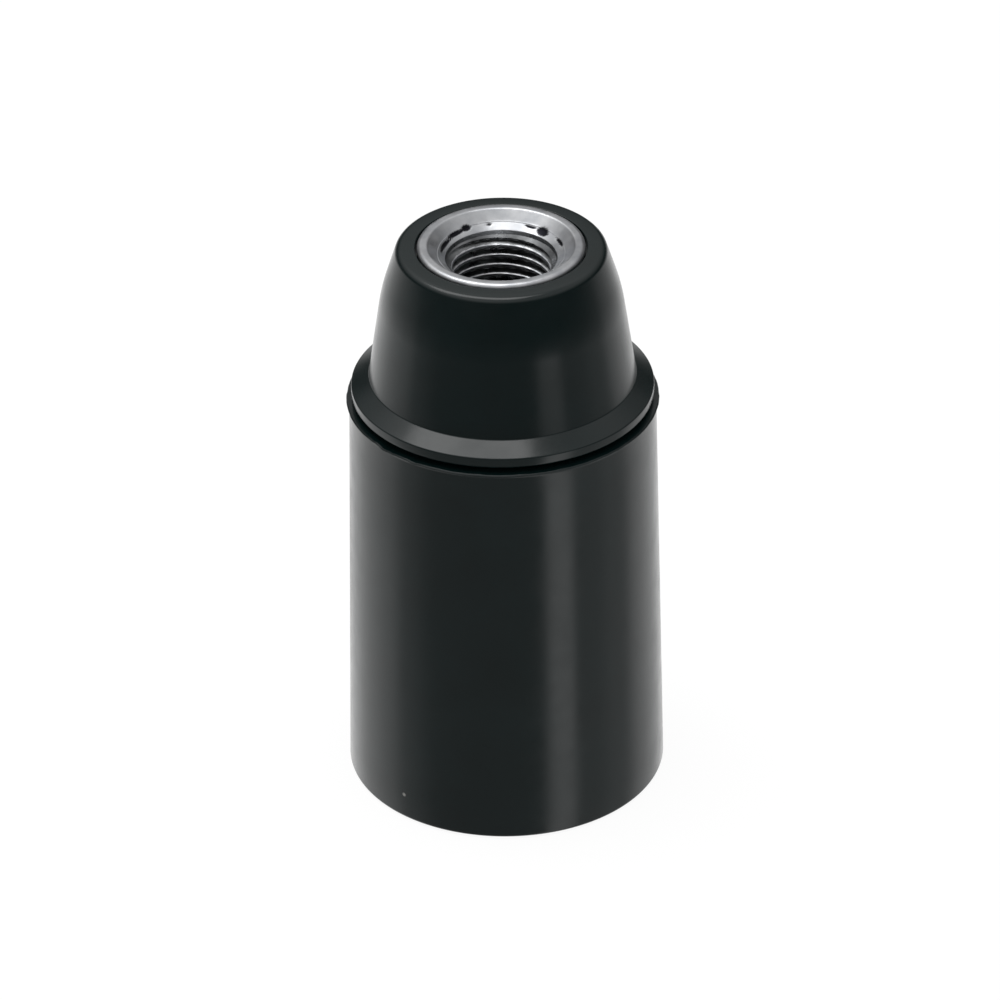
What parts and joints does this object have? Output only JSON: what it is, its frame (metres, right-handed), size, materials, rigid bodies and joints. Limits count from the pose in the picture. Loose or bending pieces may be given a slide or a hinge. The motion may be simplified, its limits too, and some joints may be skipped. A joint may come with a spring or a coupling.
{
  "type": "lamp holder",
  "caption": "Black thermoset E14 lamp holder: a domed cap with a threaded steel entry screws into a plain skirt, over a core with a screw shell, sprung contact and terminals.",
  "frame": {"origin": "centre of the skirt's open rim, on the plane it stands on", "axes": "+Z along the holder's axis from the open rim to the cable entry; the live pole lies towards -Y"},
  "size_m": [0.03, 0.03, 0.0551],
  "materials": {
    "thermoset": "satin moulded black phenolic",
    "core_thermoset": "matt moulded black phenolic",
    "zinc_steel": "bright zinc plate",
    "nickel_shell": "nickel-plated rolled sheet",
    "bronze": "spring bronze strip",
    "brass": "bright brass"
  },
  "bodies": {
    "skirt": {"skirt": "thermoset"},
    "insert": {"insulator_core": "core_thermoset", "screw_shell": "nickel_shell", "neutral_terminal": "brass", "live_terminal": "brass", "neutral_clamp_washer": "zinc_steel", "live_clamp_washer": "zinc_steel", "neutral_terminal_screw": "zinc_steel", "live_terminal_screw": "zinc_steel", "neutral_rivet": "brass", "shell_rivet": "brass", "live_rivet": "brass"},
    "cap": {"cap": "thermoset", "entry_bush": "zinc_steel", "bush_washer": "zinc_steel"},
    "contact": {"centre_contact": "bronze"}
  },
  "joints": [
    {"name": "cap_turn", "type": "hinge", "parent": "skirt", "child": "insert", "pos_m": [0, 0, 0.0393], "axis": [0, 0, 1], "range_deg": [0, 900]},
    {"name": "cap_lift", "type": "slide", "parent": "insert", "child": "cap", "axis": [0, 0, 1], "range_m": [0, 0.005]},
    {"name": "contact_press", "type": "hinge", "parent": "insert", "child": "contact", "pos_m": [0, -0.00364, 0.0236], "axis": [1, 0, 0], "range_deg": [0, 14], "stiffness_Nm_per_rad": 0.01, "deforming": ["centre_contact"]}
  ],
  "couplings": [
    {"joint": "cap_turn", "follows": "cap_lift", "rad_per_m": 3141.6}
  ]
}
